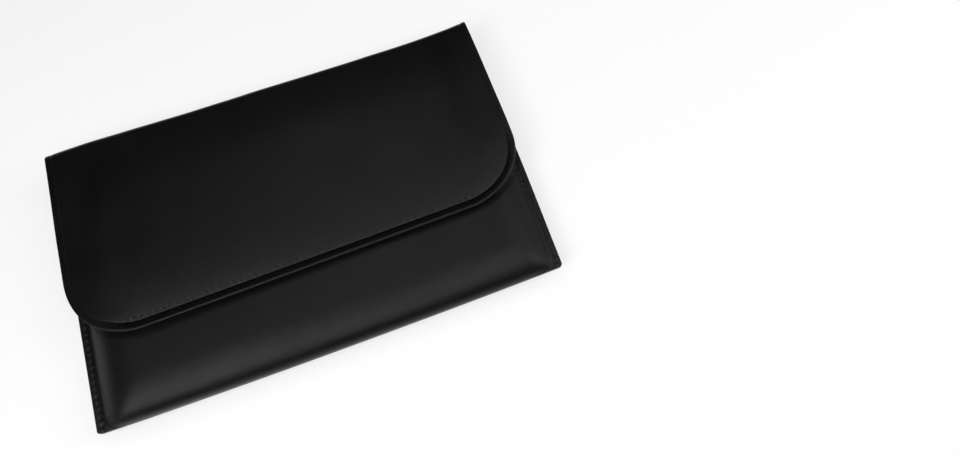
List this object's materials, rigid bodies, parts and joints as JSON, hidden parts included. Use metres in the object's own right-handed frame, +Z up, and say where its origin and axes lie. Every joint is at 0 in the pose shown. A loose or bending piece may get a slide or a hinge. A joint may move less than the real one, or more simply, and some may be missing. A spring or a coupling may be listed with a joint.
{
  "type": "domino storage wallet",
  "caption": "Soft padded wallet with a wide round-cornered flap over its front, to store a set of flat game tiles.",
  "frame": {"origin": "on the table under the middle of the closed wallet, which lies on its back", "axes": "+X to the right along the width, +Y from the bottom fold to the top crease, +Z up out of the flap"},
  "size_m": [0.24, 0.15, 0.0237],
  "materials": {
    "leather": "satin",
    "lining": "matte",
    "board": "matte",
    "foam": "matte",
    "thread": "satin",
    "magnet": "polished",
    "steel": "satin"
  },
  "bodies": {
    "pocket": {"pocket_shell": "leather", "pocket_lining": "lining", "back_board": "board", "front_foam": "foam", "mouth_facing": "leather", "mouth_stitches": "thread", "left_seam_stitches": "thread", "right_seam_stitches": "thread", "front_plate_left": "steel", "front_plate_right": "steel"},
    "spine": {"spine_shell": "leather", "spine_foam": "foam", "spine_lining": "lining"},
    "flap": {"flap_shell": "leather", "flap_lining": "lining", "flap_board": "board", "flap_foam": "foam", "flap_stitches": "thread", "flap_magnet_left": "magnet", "flap_magnet_right": "magnet"}
  },
  "joints": [
    {"name": "spine_crease", "type": "hinge", "parent": "pocket", "child": "spine", "pos_m": [0, 0.07414, 0.00086], "axis": [-1, 0, 0], "range_deg": [0, 90]},
    {"name": "flap_crease", "type": "hinge", "parent": "spine", "child": "flap", "pos_m": [0, 0.07414, 0.02284], "axis": [-1, 0, 0], "range_deg": [0, 90]}
  ]
}
